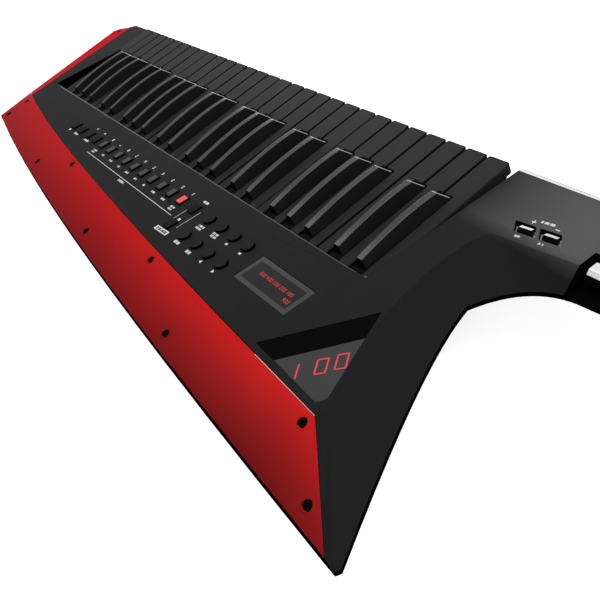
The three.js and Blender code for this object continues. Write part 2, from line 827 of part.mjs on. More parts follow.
function menuButtons() {
  const caps = menuPlaces().map(([x, y]) =>
    upright(x, y, [underside - webThickness, roundRise], roundRadius, roundSides),
  );
  const [first, last] = [roundFirstX, roundFirstX + (roundColumns - 1) * roundPitch];
  const reach = roundRadius + webMargin;
  const web = box([first - reach, last + reach], [capRowY - reach, pairRowY + reach], [
    underside - webThickness,
    underside,
  ]);
  return meshOf("menu_buttons", union([...caps, web]), finishes.cap);
}

function octaveButtons() {
  const level = [underside - webThickness, underside];
  const webs = Array.from({ length: octaveCount }, (_, i) =>
    prism(pocketOutline(i, pocketLength + pocketSkew * 2, pocketWidth, zero, webMargin), level),
  );
  const caps = Array.from({ length: octaveCount }, (_, i) =>
    prism(pocketOutline(i, octaveCapLength, octaveCapWidth, zero, zero), [
      underside - webThickness,
      -octaveCapDrop,
    ]),
  );
  return meshOf("octave_buttons", union([...webs, ...caps]), finishes.cap);
}

// The smoked moulding of the display window and the status window
const displayOutline = [
  [displayBass, displayFront],
  [displayTreble, displayFront],
  [displayTreble, displayRear],
  [displayBass, displayRear],
];
const statusOutline = [
  [-statusFrontX, wellRear + statusFrontRise],
  [statusTopX, panelHornY - statusTopInset],
  [-statusRearX, panelHornY - statusRearInset],
  [-statusHornX, panelHornY - statusHornInset],
];

function displayLens() {
  const windows = [displayOutline, statusOutline].map((outline) =>
    prism(inset(outline, fit), [underside - lensBacking, -lensDrop]),
  );
  const flanges = [displayOutline, statusOutline].map((outline) =>
    prism(inset(outline, -lensFlange), [underside - lensBacking, underside]),
  );
  const behindSkin = upperForm().translate([0, 0, underside]);
  const [x, y] = [displayBass, displayRear];
  const bridge = prism(
    [
      [x - bridgeReach, y + bridgeHalf],
      [x, y - bridgeHalf],
      [x + bridgeHalf, y],
      [x - bridgeHalf, y + bridgeHalf + bridgeHalf],
    ],
    [underside - lensBacking, underside],
  );
  const carrier = union([...flanges, bridge]).intersect(behindSkin);
  return meshOf("display_lens", carrier.add(union(windows)), finishes.lens);
}

// Modulation bar: a long bar with a round foot that it rocks on
const barCentre = barBayInner + barInnerGap + barRadius;
const barAxisDepth = splitDepth - barRadius;
const barBay = [barTipGap - neckReach, -neckRootX];

function modulationBar() {
  const side = [
    ...arc(barCentre, -barAxisDepth, barRadius, -Math.PI, zero, barSteps * 2),
    [barCentre + barRadius, -barDrop - barBevel],
    [barCentre + barRadius - barBevel, -barDrop],
    [barCentre - barRadius + edgeRound, -barDrop],
    [barCentre - barRadius, -barDrop - edgeRound],
  ];
  const bar = prismAlongX(side, [barBay[0] + barEndGap, barBay[1] - barEndGap]);
  return meshOf("modulation_bar", bar, finishes.bar);
}

// Volume knob: a fluted cap on a shaft that runs through the neck's skin
function volumeKnob() {
  const outline = Array.from({ length: knobFlutes * 2 }, (_, i) => {
    const angle = (Math.PI * i) / knobFlutes;
    const radius = i % 2 ? knobRadius - knobFlute : knobRadius;
    return [radius * Math.cos(angle) - knobX, radius * Math.sin(angle) + knobY];
  });
  const cap = prism(outline, [fit, knobHeight]);
  const shaft = upright(-knobX, knobY, [-knobShaftLength, knobHeight / 2], knobShaftRadius, shaftSides);
  return meshOf("volume_knob", cap.add(shaft), finishes.cap);
}

// Everything that the upper case is opened for
function panelCuts() {
  const cut = (outline) => prism(outline, throughPanel);
  return union([
    ...tonePlaces().map(([x, y]) => cut(rectangle(x, y, capWidth, capLength, capGap))),
    ...menuPlaces().map(([x, y]) => upright(x, y, throughPanel, roundRadius + capGap, roundSides)),
    ...Array.from({ length: octaveCount }, (_, i) =>
      cut(pocketOutline(i, pocketLength, pocketWidth, pocketSkew, zero)),
    ),
    cut(displayOutline),
    cut(statusOutline),
    upright(-knobX, knobY, throughPanel, knobShaftRadius + knobHoleGap, shaftSides),
    box(
      [ribbonTipGap - neckReach, -ribbonStart],
      [ribbonFront, ribbonFront + ribbonWidth],
      [-ribbonSeat, overrun],
    ),
  ]);
}

function upperCase() {
  const form = upperForm();
  const inner = prism(inset(rimOutline, wall), [-splitDepth - overrun - skin, overrun]);
  const hollow = form.translate([0, 0, -skin]).intersect(inner);
  const low = [-splitDepth - overrun, overrun];
  const well = [-wellEndGap, keyboardLength + wellEndGap];
  const wellCut = box(well, [-frontEdge - overrun, wellRear], low);
  const cheeks = union([
    box([well[0] - wall, well[0]], [-frontEdge, wellRear], low),
    box([well[1], well[1] + wall], [-frontEdge, wellRear], low),
  ]);
  const rear = neckRootWidth + neckSkirt;
  const bay = box(barBay, [barBayInner, rear], low);
  const bayWalls = box([barBay[0] - wall, barBay[1] + wall], [barBayInner - wall, rear], low);
  const walls = form.intersect(cheeks.add(bayWalls));
  const bladeBed = [-overrun, bladeThickness + fit];
  const beds = strip(runOf("end"), bladeBed, zero, zero, overrun).add(
    strip(runOf("seam", "long"), bladeBed, zero, zero, overrun),
  );
  const shell = form.subtract(hollow).add(walls);
  const solid = shell.subtract(union([wellCut, bay, beds, panelCuts()]));
  return meshOf("upper_case", solid, finishes.panel);
}

// The lower case: a lip under the rim, then faces that draw in to the flat belly
function lowerForm() {
  const top = -splitDepth - fit;
  const lip = top - lipHeight;
  const clamp = THREE.MathUtils.clamp;
  const onBelly = ([x, y]) => [
    clamp(x, bellyBass, bellyTreble),
    clamp(y + Math.min(x, zero) * bellySlant, bellyFront, bellyRear),
  ];
  const body = loft(
    [
      rimOutline.map((p) => [...onBelly(p), -backDepth]),
      rimOutline.map((p) => [...p, lip]),
      rimOutline.map((p) => [...p, top]),
    ],
    true,
  );
  const neckRim = stations.filter((s) => s.part === "neck").map((s) => s.rim);
  const root = [[zero, -frontEdge], [zero, neckRim[0][1] - edgeRound]];
  const outline = [neckTipFront, ...root, ...neckRim];
  const [bass, treble] = [neckTipBlunt + neckBellyInset - neckReach, -bellyBass];
  const [front, rear] = [neckBellyInset - frontEdge, neckTipWidth - frontEdge];
  const onNeck = ([x, y]) => [clamp(x, bass, treble), clamp(y, front, rear)];
  const neck = loft(
    [
      outline.map((p) => [...onNeck(p), -neckDepth]),
      outline.map((p) => [...p, lip]),
      outline.map((p) => [...p, top]),
    ],
    true,
  );
  return body.add(neck);
}

// A strap button: a stem and a round head, turned to stand along the given direction
function strapButton([x, y, z], turn) {
  const end = strapStemLength + strapHeadLength;
  const points = [
    [zero, -strapSink],
    [strapStemRadius, -strapSink],
    [strapStemRadius, strapStemLength],
    [strapHeadRadius, strapStemLength + strapHeadBevel],
    [strapHeadRadius, end - strapHeadBevel],
    [strapHeadRadius - strapHeadBevel, end],
    [zero, end],
  ];
  const geometry = new THREE.LatheGeometry(
    points.map(([r, h]) => new THREE.Vector2(r, h)),
    strapSides,
  );
  turn(geometry);
  geometry.translate(x, y, z);
  return solidOf(geometry);
}

function strapButtons() {
  const treble = [trebleReach - strapTrebleInset, strapTrebleY, -strapTrebleDepth];
  const horn = [-strapHornX, hornReach - strapHornDrop, -strapHornDepth];
  return union([
    strapButton(treble, (geometry) => geometry.rotateZ(-Math.PI / 2)),
    strapButton(horn, (geometry) => geometry.rotateX(-Math.PI / 2)),
  ]);
}

// Posts that stand on the floor and carry the key bed on its sloping underside
function bedPosts(bedUnderside) {
  const depth = hingeFromFront + bedRailHalf + bedLip - bedFront;
  const inset = keyboardLength * bedPostEndShare;
  const pitch = (keyboardLength - inset * 2) / (bedPostColumns - 1);
  const posts = bedPostRowShares.flatMap((share) =>
    Array.from({ length: bedPostColumns }, (_, i) =>
      upright(
        inset + i * pitch,
        bedFront + depth * share,
        [-backDepth + lowerSkin / 2, overrun],
        bedPostRadius,
        postSides,
      ),
    ),
  );
  return union(posts).subtract(bedUnderside);
}

// The space over the plane that the key bed's underside lies on, less the fit
function overBed() {
  const reach = overallLength;
  const geometry = new THREE.BoxGeometry(reach, reach, reach);
  geometry.translate(keyboardLength / 2, 0, reach / 2 - bedTopDepth - bedPlate - fit);
  geometry.rotateX(-keyTilt);
  geometry.translate(0, 0, keyRise);
  return solidOf(geometry);
}

function jackPlaces() {
  const pitch = (jackBayTreble - jackBayBass) / jackCount;
  return Array.from({ length: jackCount }, (_, i) => jackBayBass + pitch * (i + 0.5));
}

function lowerCase() {
  const form = lowerForm();
  const inner = prism(inset(rimOutline, wall), [-backDepth, overrun + lowerSkin]);
  const hollow = form.translate([0, 0, lowerSkin]).intersect(inner);
  const deck = box(
    [barBay[0] - wall, barBay[1] + wall],
    [barBayInner - wall, hornReach],
    [-splitDepth - fit - deckThickness, -splitDepth - fit],
  );
  const bayBlock = box(
    [jackBayBass - wall, jackBayTreble + wall],
    [jackBayBack - wall, hornReach],
    [-jackBayBottom - wall, -jackBayTop + wall],
  );
  const bay = box([jackBayBass, jackBayTreble], [jackBayBack, hornReach], [-jackBayBottom, -jackBayTop]);
  const middle = -(jackBayTop + jackBayBottom) / 2;
  const sockets = jackPlaces().map((x) => {
    const geometry = new THREE.CylinderGeometry(jackRadius, jackRadius, jackBore, jackSides);
    geometry.translate(x, jackBayBack, middle);
    return solidOf(geometry);
  });
  const extras = form.intersect(deck.add(bayBlock));
  const solid = form.subtract(hollow).add(extras).add(bedPosts(overBed())).add(strapButtons());
  const carved = solid.subtract(bay).subtract(union(sockets));
  return meshOf("lower_case", carved, finishes.shell);
}

// Assembly
const keyboard = new THREE.Group();
keyboard.rotation.x = -keyTilt;
keyboard.position.z = keyRise;
const centres = sharpCentres();
for (let index = 0; index < naturalCount; index += 1) {
  keyboard.add(naturalKey(index, centres));
}
for (const place of centres) {
  keyboard.add(sharpKey(place));
}
keyboard.add(keyBed());

const body = new THREE.Group();
body.add(
  upperCase(),
  lowerCase(),
  meshOf("long_blade", blade(runOf("seam", "long"), longScrewShares), finishes.blade),
  meshOf("end_blade", blade(runOf("end"), endScrewShares), finishes.blade),
  toneButtons(),
  menuButtons(),
  octaveButtons(),
  displayLens(),
  modulationBar(),
  volumeKnob(),
);

// The origin lies under the middle of the whole, on the flat back
const keytar = new THREE.Group();
const instrument = new THREE.Group();
instrument.position.set((neckReach - trebleReach) / 2, (frontEdge - hornReach) / 2, backDepth);
instrument.add(keyboard, body);
keytar.add(instrument);

export default keytar;
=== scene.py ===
"""The keytar's looks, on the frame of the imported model. MM and at() take millimetres."""
import json
import math

import bpy
from mathutils import Matrix, Vector

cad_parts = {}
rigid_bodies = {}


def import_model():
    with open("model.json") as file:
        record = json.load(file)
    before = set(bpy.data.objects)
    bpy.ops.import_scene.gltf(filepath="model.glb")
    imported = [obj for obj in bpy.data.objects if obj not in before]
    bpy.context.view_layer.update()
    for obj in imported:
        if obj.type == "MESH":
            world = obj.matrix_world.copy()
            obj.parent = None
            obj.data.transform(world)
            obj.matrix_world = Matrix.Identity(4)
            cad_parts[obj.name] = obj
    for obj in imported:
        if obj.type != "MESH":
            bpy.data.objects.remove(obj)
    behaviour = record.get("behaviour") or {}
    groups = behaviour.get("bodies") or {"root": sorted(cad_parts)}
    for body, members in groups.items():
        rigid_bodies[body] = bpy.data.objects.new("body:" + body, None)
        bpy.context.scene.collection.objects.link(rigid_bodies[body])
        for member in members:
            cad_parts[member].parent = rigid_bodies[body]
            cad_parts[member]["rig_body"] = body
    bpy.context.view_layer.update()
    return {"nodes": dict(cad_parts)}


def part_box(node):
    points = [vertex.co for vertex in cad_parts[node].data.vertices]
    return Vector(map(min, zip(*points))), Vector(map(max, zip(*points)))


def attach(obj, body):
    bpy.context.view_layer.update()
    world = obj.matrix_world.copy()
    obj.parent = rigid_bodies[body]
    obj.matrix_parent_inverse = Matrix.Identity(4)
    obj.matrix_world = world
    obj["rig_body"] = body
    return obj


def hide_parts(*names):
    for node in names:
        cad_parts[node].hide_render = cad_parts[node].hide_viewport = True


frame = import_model()

MM = 0.001
# The panel's own corner in the part's frame: x runs along the keys, y away from the player, z up.
PANEL = Vector((-0.159, -0.14435, 0.0704))
WHITE = (1, 1, 1, 1)
GRAIN_DEPTH = 0.06 * MM

# Places on the panel in millimetres
WELL_BASS, WELL_TREBLE = -2, 688  # just beyond the key well's two ends
WELL_REAR = 146.5  # the well's rear edge
SLOPE_LINE = -8.9  # parts a narrow strip off the foot of the front edge's slope
SHARP_FRONT, SHARP_REAR = 57.1, 136.8  # the finishes of a sharp's top lie between these
PANE_X, PANE_Y = (20.6, 83.6), (183.4, 204.2)  # the display inside its border
DISPLAY_BASS = 14  # between the status window and the display
LENS_FACE = -0.4
SOCKET_X = (389, 423, 457, 491)
CAP_X = [230 + 21.87 * i for i in range(14)]
NUMBERED_CAPS = 10  # the first of them
PIN_RADIUS = 9
PINS = (((749.6, 60, -33), (763, 60, -33)), ((-100, 240, -30.5), (-100, 240, -44)))


def at(x, y, z=0.0):
    """A place given on the panel in millimetres, in the part's frame in metres."""
    return PANEL + Vector((x, y, z)) * MM


# The line between the status window and its dark band, and the octave caps' middle and slant
BAND_START, BAND_END = at(-52.2, 183.1), at(-15.3, 240.6)
OCTAVE_MIDDLE, OCTAVE_TURN = at(-56.4, 45.7), math.radians(6.4)
OCTAVE_ACROSS = Vector((-math.sin(OCTAVE_TURN), math.cos(OCTAVE_TURN), 0))


# ---------------------------------------------------------------- camera, light and floor


def set_camera():
    """The photograph's own view, as fitted to the keyboard."""
    bpy.ops.object.camera_add(location=(0, 0, 0))
    camera = bpy.context.object
    camera.name = "photo_camera"
    right = Vector((-0.54337, -0.78925, -0.28607))
    up = Vector((0.40022, -0.54309, 0.73816))
    forward = Vector((0.73795, -0.28660, -0.61097))
    turn = Matrix((right, up, -forward)).transposed().to_4x4()
    camera.matrix_world = Matrix.Translation((-0.555798, 0.208363, 0.414336)) @ turn
    camera.data.lens = 47.65
    camera.data.sensor_width = 36
    camera.data.clip_start = 0.01
    bpy.context.scene.camera = camera


def computed(nodes, links, operation, first, second):
    """A sum, product or the like of two node outputs."""
    made = nodes.new("ShaderNodeMath")
    made.operation = operation
    links.new(first, made.inputs[0])
    links.new(second, made.inputs[1])
    return made.outputs[0]


def seen_directly(nodes, links):
    """1 for the camera's own rays and for those that gloss and glass send on, else 0."""
    rays = nodes.new("ShaderNodeLightPath").outputs
    direct = computed(nodes, links, "MAXIMUM", rays["Is Camera Ray"], rays["Is Glossy Ray"])
    return computed(nodes, links, "MAXIMUM", direct, rays["Is Transmission Ray"])


def set_world():
    """The world lights the keytar dimly and shows itself white."""
    world = bpy.data.worlds.new("studio")
    bpy.context.scene.world = world
    world.use_nodes = True
    nodes, links = world.node_tree.nodes, world.node_tree.links
    nodes.clear()
    pick = nodes.new("ShaderNodeMixShader")
    out = nodes.new("ShaderNodeOutputWorld")
    links.new(seen_directly(nodes, links), pick.inputs[0])
    for socket, strength in ((1, 0.35), (2, 1.0)):
        sky = nodes.new("ShaderNodeBackground")
        sky.inputs["Color"].default_value = WHITE
        sky.inputs["Strength"].default_value = strength
        links.new(sky.outputs[0], pick.inputs[socket])
    links.new(pick.outputs[0], out.inputs[0])


def add_lamp(name, place, target, size, power):
    bpy.ops.object.light_add(type="AREA", location=place)
    lamp = bpy.context.object
    lamp.name = name
    lamp.data.shape = "RECTANGLE"
    lamp.data.size, lamp.data.size_y = size
    lamp.data.energy = power
    aim = (Vector(target) - Vector(place)).to_track_quat("-Z", "Y")
    lamp.rotation_euler = aim.to_euler()
    return lamp


def set_floor():
    bpy.ops.mesh.primitive_plane_add(size=14, location=(0, 0, -0.0006))
    floor = bpy.context.object
    floor.name = "floor"
    made = bpy.data.materials.new("pale_floor")
    made.use_nodes = True
    nodes, links = made.node_tree.nodes, made.node_tree.links
    nodes.clear()
    matt = nodes.new("ShaderNodeBsdfDiffuse")
    matt.inputs["Color"].default_value = (0.86, 0.86, 0.86, 1)
    glow = nodes.new("ShaderNodeEmission")
    glow.inputs["Color"].default_value = WHITE
    glow.inputs["Strength"].default_value = 0.8
    both = nodes.new("ShaderNodeAddShader")
    pick = nodes.new("ShaderNodeMixShader")
    out = nodes.new("ShaderNodeOutputMaterial")
    links.new(matt.outputs[0], both.inputs[0])
    links.new(glow.outputs[0], both.inputs[1])
    links.new(seen_directly(nodes, links), pick.inputs[0])
    links.new(matt.outputs[0], pick.inputs[1])
    links.new(both.outputs[0], pick.inputs[2])
    links.new(pick.outputs[0], out.inputs[0])
    floor.data.materials.append(made)


# ---------------------------------------------------------------- finishes


def shade_of(colour, factor):
    return (*[min(1.0, max(0.0, c * factor)) for c in colour], 1.0)


def noise(nodes, links, source, scale, detail=2.0):
    made = nodes.new("ShaderNodeTexNoise")
    made.inputs["Scale"].default_value = scale
    made.inputs["Detail"].default_value = detail
    links.new(source, made.inputs["Vector"])
    return made.outputs["Fac"]


def ranged(nodes, links, value, low, high, to_low, to_high):
    made = nodes.new("ShaderNodeMapRange")
    made.inputs["From Min"].default_value = low
    made.inputs["From Max"].default_value = high
    made.inputs["To Min"].default_value = to_low
    made.inputs["To Max"].default_value = to_high
    links.new(value, made.inputs["Value"])
    return made.outputs["Result"]


def mixed(nodes, links, factor, first, second):
    made = nodes.new("ShaderNodeMix")
    made.data_type = "RGBA"
    links.new(factor, made.inputs["Factor"])
    for name, value in (("A", first), ("B", second)):
        socket = [s for s in made.inputs if s.name == name and s.type == "RGBA"][0]
        if isinstance(value, tuple):
            socket.default_value = value
        else:
            links.new(value, socket)
    return [s for s in made.outputs if s.type == "RGBA"][0]


def glossier_place(nodes, links, body, place, dull, rough, specular, glossier):
    """Another gloss and roughness: in full up to start in x and up to near in y, none from end
    or far on. Gives the roughness."""
    start, end, sheen, rough_there, near, far = glossier
    split = nodes.new("ShaderNodeSeparateXYZ")
    links.new(place, split.inputs[0])
    along = ranged(nodes, links, split.outputs["X"], start, end, 1.0, 0.0)
    within = ranged(nodes, links, split.outputs["Y"], near, far, 1.0, 0.0)
    there = computed(nodes, links, "MULTIPLY", along, within)
    shine = ranged(nodes, links, there, 0.0, 1.0, specular, sheen)
    links.new(shine, body.inputs["Specular IOR Level"])
    drop = ranged(nodes, links, there, 0.0, 1.0, 0.0, rough - rough_there)
    return computed(nodes, links, "SUBTRACT", dull, drop)


def finish(name, colour, rough, metal=0.0, specular=0.5, grain=1400, bump=0.25, vary=0.08,
           patch=22, smudge=0.02, painted_light_ramp=None, glow=None, tint=None, glossier=None):
    """A moulded, anodised or lacquered surface: grain, a drift of tone, smudges in the gloss, and
    where given, a ramp of painted light.
    """
    made = bpy.data.materials.new(name)
    made.use_nodes = True
    nodes, links = made.node_tree.nodes, made.node_tree.links
    body = nodes["Principled BSDF"]
    body.inputs["Metallic"].default_value = metal
    body.inputs["Specular IOR Level"].default_value = specular
    if tint:
        body.inputs["Specular Tint"].default_value = (*tint, 1)
    place = nodes.new("ShaderNodeTexCoord").outputs["Object"]
    drift = ranged(nodes, links, noise(nodes, links, place, patch), 0.3, 0.7, 0.0, 1.0)
    if painted_light_ramp:
        tone = painted_light_ramp(nodes, links, place)
        darker = nodes.new("ShaderNodeHueSaturation")
        darker.inputs["Value"].default_value = 1 - vary
        links.new(tone, darker.inputs["Color"])
        tone = mixed(nodes, links, drift, darker.outputs["Color"], tone)
    else:
        tone = mixed(nodes, links, drift, shade_of(colour, 1 - vary), shade_of(colour, 1 + vary))
    links.new(tone, body.inputs["Base Color"])
    dull = noise(nodes, links, place, patch * 3.5, 4.0)
    dull = ranged(nodes, links, dull, 0.3, 0.7, rough - smudge, rough + smudge)
    if glossier:
        dull = glossier_place(nodes, links, body, place, dull, rough, specular, glossier)
    links.new(dull, body.inputs["Roughness"])
    raised = nodes.new("ShaderNodeBump")
    raised.inputs["Strength"].default_value = bump
    raised.inputs["Distance"].default_value = GRAIN_DEPTH
    links.new(noise(nodes, links, place, grain, 3.0), raised.inputs["Height"])
    links.new(raised.outputs["Normal"], body.inputs["Normal"])
    if glow:
        hue, power = glow
        flicker = noise(nodes, links, place, 300)
        shine = ranged(nodes, links, flicker, 0.2, 0.8, power * 0.85, power * 1.1)
        body.inputs["Emission Color"].default_value = (*hue, 1)
        links.new(shine, body.inputs["Emission Strength"])
    return made


def painted_light_down_the_blade(nodes, links, place):
    """Painted light and shade on the red: brightest along the upper edge and towards the horn,
    darkest at the rim.
    """
    split = nodes.new("ShaderNodeSeparateXYZ")
    links.new(place, split.inputs[0])
    level = ranged(nodes, links, split.outputs["Z"], at(0, 0, -15).z, PANEL.z, 0.0, 1.0)
    horn = ranged(nodes, links, split.outputs["X"], at(-60, 0).x, at(-140, 0).x, 0.0, 0.3)
    ramp = nodes.new("ShaderNodeValToRGB")
    ramp.color_ramp.elements[0].color = (0.08, 0.005, 0.0055, 1)
    ramp.color_ramp.elements[1].color = (0.38, 0.01, 0.01, 1)
    middle = ramp.color_ramp.elements.new(0.5)
    middle.color = (0.19, 0.008, 0.0085, 1)
    links.new(computed(nodes, links, "ADD", level, horn), ramp.inputs["Fac"])
    return ramp.outputs["Color"]


bpy.context.scene.view_settings.view_transform = "Standard"
set_camera()
set_world()
set_floor()
add_lamp("overhead_softbox", (0.15, -0.45, 1.9), (0, 0, 0), (1.6, 1.1), 13)
add_lamp("side_softbox", (-1.5, 1.6, 1.5), (0, 0, 0), (1.4, 1.0), 11)
add_lamp("treble_softbox", (1.55, 0.3, 1.7), (0.1, 0, 0), (1.0, 0.8), 4)
low_strip = add_lamp("low_strip", (1.68, -1.41, 0.71), (-0.2, -0.1, 0), (1.4, 0.35), 11)
low_strip.data.use_shadow = False
add_lamp("neck_softbox", (-1.15, -0.75, 1.1), (-0.1, 0, 0), (0.9, 0.7), 7)

PANEL_BLACK = finish("panel_black", (0.0098, 0.0098, 0.01), 0.68, specular=0.05, grain=1500,
                     bump=0.3, glossier=(-0.26, -0.145, 0.5, 0.4, -0.095, -0.08))
# Painted highlight: bright metal on the neck's front bevel
NECK_BEVEL_HIGHLIGHT = finish("neck_bevel_painted_highlight", (0.75, 0.75, 0.75), 0.14, metal=0.8, grain=500, bump=0.03)
# Painted shade: near-black for upright walls, rims, cap flanks and the blade's outer edge
SHADE_BLACK = finish("painted_shade_black", (0.002, 0.002, 0.002), 0.7, specular=0.0, grain=1200, bump=0.2)
SHELL_BLACK = finish("shell_black", (0.004, 0.004, 0.0042), 0.55, specular=0.06, grain=1100,
                     bump=0.35)
# The blade's red is a ramp of painted light, brightest at the upper edge
BLADE_RED = finish("blade_red", (0.2, 0.01, 0.013), 0.45, metal=1.0, grain=900, bump=0.12,
                   vary=0.06, patch=9, painted_light_ramp=painted_light_down_the_blade, tint=(0.9, 0.52, 0.54))
# Painted highlight: the end blade's red is lighter than the long blade's
BLADE_RED_LIT = finish("blade_red_painted_highlight", (0.46, 0.014, 0.02), 0.4, metal=1.0, grain=900, bump=0.12,
                    vary=0.12, patch=9, tint=(0.9, 0.3, 0.33))
NATURAL_BLACK = finish("natural_black", (0.0115, 0.0115, 0.012), 0.58, specular=0.08, grain=1700,
                       bump=0.3)
# Painted shade: black for the keys' sides and ends, where shade falls between them
KEY_GAP_SHADE = finish("key_gap_painted_shade", (0.002, 0.002, 0.002), 0.7, specular=0.03, grain=1700, bump=0.2)
SHARP_BLACK = finish("sharp_black", (0.008, 0.008, 0.0082), 0.2, specular=0.1, grain=700,
                     bump=0.05, smudge=0.03, glossier=(-0.15, 0.4, 0.5, 0.2, 0.2, 0.3))
# Painted light: the sharps' sides get a lighter, matt black than their tops, as they are lit
SHARP_SIDE_LIT = finish("sharp_side_painted_light", (0.011, 0.011, 0.0113), 0.65, specular=0.02, grain=900, bump=0.15)
FRAME_GREY = finish("frame_grey", (0.02, 0.02, 0.021), 0.5)
LENS_SMOKE = finish("lens_smoke", (0.012, 0.011, 0.011), 0.18, specular=0.1, grain=300,
                    bump=0.03, smudge=0.04)
CAP_RUBBER = finish("cap_rubber", (0.003, 0.003, 0.0031), 0.55, specular=0.03, grain=2200, bump=0.3)
BAR_SILVER = finish("bar_silver", (0.62, 0.62, 0.64), 0.3, metal=1.0, grain=800, bump=0.15)
PRINT_WHITE = finish("print_white", (0.8, 0.8, 0.8), 0.6, specular=0.2, grain=2500, bump=0.2,
                     patch=400)
PRINT_GREY = finish("print_grey", (0.72, 0.72, 0.72), 0.6, specular=0.2, grain=2500, bump=0.2,
                    patch=400)
LED_RED = finish("led_red", (0.3, 0.02, 0.03), 0.4, specular=0.1, glow=((1.0, 0.08, 0.1), 0.52),
                 patch=300)
DOT_RED = finish("dot_red", (0.2, 0.02, 0.03), 0.4, specular=0.1, glow=((1.0, 0.05, 0.07), 0.38),
                 patch=300)
CAP_LIT = finish("cap_lit", (0.5, 0.05, 0.06), 0.4, specular=0.1, glow=((1.0, 0.05, 0.065), 0.6),
                 patch=300)
CAP_GREY = finish("cap_grey", (0.021, 0.021, 0.0215), 0.4, specular=0.15, patch=200)
STEEL_BLACK = finish("steel_black", (0.0015, 0.0015, 0.0015), 0.75, specular=0.02, grain=1600,
                     bump=0.2)
# Painted highlight: pale pink for the long blade's inner edge
BLADE_EDGE_HIGHLIGHT = finish("blade_edge", (0.95, 0.6, 0.6), 0.6, specular=0.1, grain=900, bump=0.1)
# Painted highlight: light grey for the sharps' front edges
SHARP_EDGE_HIGHLIGHT = finish("edge_light", (0.42, 0.42, 0.42), 0.3, specular=0.5, grain=900, bump=0.05)
NICKEL = finish("nickel", (0.55, 0.54, 0.52), 0.25, metal=1.0, grain=900, bump=0.1)
WINDOW_GREY = finish("window_grey", (0.042, 0.042, 0.042), 0.25, specular=0.15, grain=400,
                     bump=0.05)
STATUS_GREY = finish("status_grey", (0.035, 0.035, 0.035), 0.25, specular=0.15, grain=400,
                     bump=0.05)
# Painted highlight: lighter grey for the chamfer along the well's rear edge
WELL_EDGE_HIGHLIGHT = finish("well_edge_painted_highlight", (0.05, 0.05, 0.05), 0.5, specular=0.1, grain=900, bump=0.1)
# Painted light: a grey line at the foot of the neck's front slope
SLOPE_FOOT_LIGHT = finish("slope_foot_painted_light", (0.06, 0.06, 0.06), 0.6, specular=0.02, grain=900, bump=0.1)
CAP_GLOSS = finish("cap_gloss", (0.01, 0.01, 0.01), 0.22, specular=0.5, grain=900, bump=0.1)
# Painted highlight: light grey for a strip on the octave caps
OCTAVE_CAP_HIGHLIGHT = finish("octave_cap_painted_highlight", (0.62, 0.62, 0.62), 0.3, specular=0.5, grain=900, bump=0.05)
RIBBON_SATIN = finish("ribbon_satin", (0.006, 0.006, 0.006), 0.3, specular=0.2, grain=1800,
                      bump=0.2)
# Black for the dark print, and painted shade in the status window's band and on the octave caps
BLACK_PRINT_AND_SHADE = finish("black_print_and_painted_shade", (0.004, 0.004, 0.004), 0.6, specular=0.0, grain=400, bump=0.04)


# ---------------------------------------------------------------- working on a piece by hand


def alone(piece):
    """Only this piece is selected and worked on."""
    bpy.ops.object.select_all(action="DESELECT")
    piece.select_set(True)
    bpy.context.view_layer.objects.active = piece


def editing(piece, *steps):
    """Runs the steps in edit mode on the whole piece."""
    alone(piece)
    bpy.ops.object.mode_set(mode="EDIT")
    bpy.ops.mesh.select_all(action="SELECT")
    for step in steps:
        step()
    bpy.ops.object.mode_set(mode="OBJECT")


def unpicked(piece, kind):
    """Nothing on the piece is selected, and the next selection is of this kind."""
    alone(piece)
    bpy.ops.object.mode_set(mode="EDIT")
    bpy.ops.mesh.select_mode(type=kind)
    bpy.ops.mesh.select_all(action="DESELECT")
    bpy.ops.object.mode_set(mode="OBJECT")


def pick_faces(piece, wanted):
    """Selects the faces that wanted(centre, normal) asks for, and no others."""
    unpicked(piece, "FACE")
    for face in piece.data.polygons:
        face.select = bool(wanted(face.center, face.normal))
    bpy.ops.object.mode_set(mode="EDIT")


def pick_edges(piece, wanted):
    """Selects the edges that wanted(one end, other end) asks for, and no others."""
    unpicked(piece, "EDGE")
    ends = piece.data.vertices
    for edge in piece.data.edges:
        one, other = edge.vertices
        edge.select = bool(wanted(ends[one].co, ends[other].co))
    bpy.ops.object.mode_set(mode="EDIT")


def leave():
    bpy.ops.object.mode_set(mode="OBJECT")


def bisected(piece, place, normal):
    """Cuts the faces along a plane without parting the piece."""
    editing(piece, lambda: bpy.ops.mesh.bisect(plane_co=place, plane_no=normal))


def painted(piece, material, wanted):
    """Gives the faces that wanted(centre, normal) asks for another finish."""
    piece.data.materials.append(material)
    index = len(piece.data.materials) - 1
    for face in piece.data.polygons:
        if wanted(face.center, face.normal):
            face.material_index = index


def applied(piece, kind, **settings):
    """Adds a modifier and applies it."""
    alone(piece)
    modifier = piece.modifiers.new(kind.lower(), kind)
    for name, value in settings.items():
        setattr(modifier, name, value)
    bpy.ops.object.modifier_apply(modifier=modifier.name)
    return piece


def rounded(piece, width_mm, segments=2, angle=40, smooth=32, keep=False):
    """Rounds the edges; the flat faces between them keep their own normals."""
    alone(piece)
    bpy.ops.object.shade_smooth_by_angle(angle=math.radians(smooth), keep_sharp_edges=keep)
    applied(piece, "BEVEL", width=width_mm * MM, segments=segments, limit_method="ANGLE",
            angle_limit=math.radians(angle), use_clamp_overlap=False, miter_outer="MITER_ARC",
            harden_normals=True)


def coated(piece, material):
    piece.data.materials.clear()
    piece.data.materials.append(material)
    for face in piece.data.polygons:
        face.material_index = 0
    return piece


def settled(piece, place=None):
    """Puts the piece's place into its mesh, so that its object sits at the origin."""
    alone(piece)
    if place is not None:
        piece.matrix_world = place
    bpy.ops.object.transform_apply(location=True, rotation=True, scale=True)
    return piece


